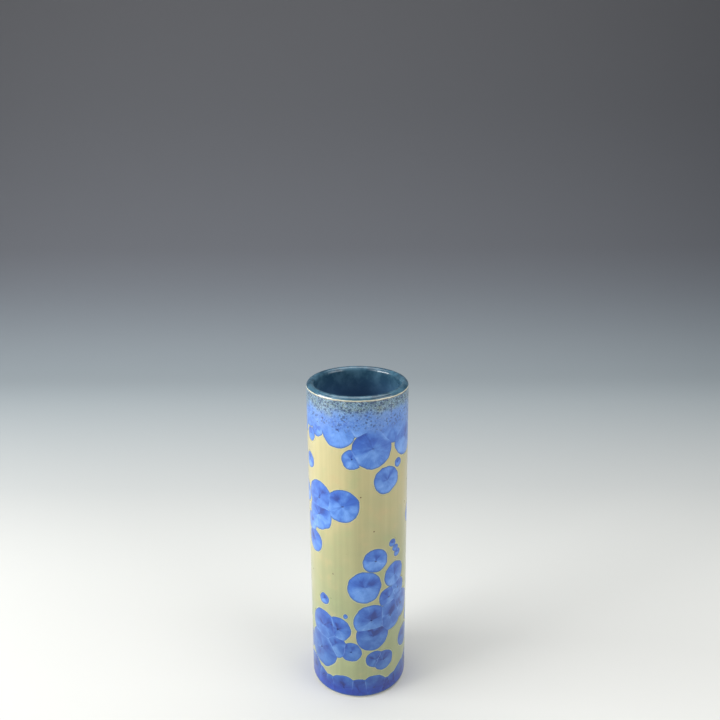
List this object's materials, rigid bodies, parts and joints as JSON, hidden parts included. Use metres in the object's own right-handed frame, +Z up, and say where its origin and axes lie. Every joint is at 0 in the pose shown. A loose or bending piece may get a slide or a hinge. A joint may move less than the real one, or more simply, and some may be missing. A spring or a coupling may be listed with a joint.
{
  "type": "ceramic bud vase",
  "caption": "Tall straight cylinder bud vase with a rounded lip and a shallow foot ring, in porcelain with a crystalline glaze.",
  "frame": {"origin": "centre of the foot, on the plane that the vase stands on", "axes": "+Z up along the vase's axis, out of its mouth; -Y is the front of the glaze pattern"},
  "size_m": [0.0762, 0.0762, 0.254],
  "materials": {
    "porcelain": "bisque, ground smooth at the foot",
    "liner_glaze": "glossy",
    "lip_edge_glaze": "glossy, thin",
    "rim_glaze": "glossy, mottled",
    "outer_glaze": "glossy",
    "crystal": "satin, radiating",
    "crystal_core": "satin",
    "iron": "satin"
  },
  "bodies": {
    "root": {"clay_body": "porcelain", "liner_glaze": "liner_glaze", "lip_edge_glaze": "lip_edge_glaze", "rim_glaze": "rim_glaze", "outer_glaze": "outer_glaze", "rim_crystals": "crystal", "shoulder_crystals": "crystal", "belly_crystals": "crystal", "lower_crystals": "crystal", "foot_crystals": "crystal", "crystal_cores": "crystal_core", "iron_specks": "iron"}
  },
  "joints": []
}
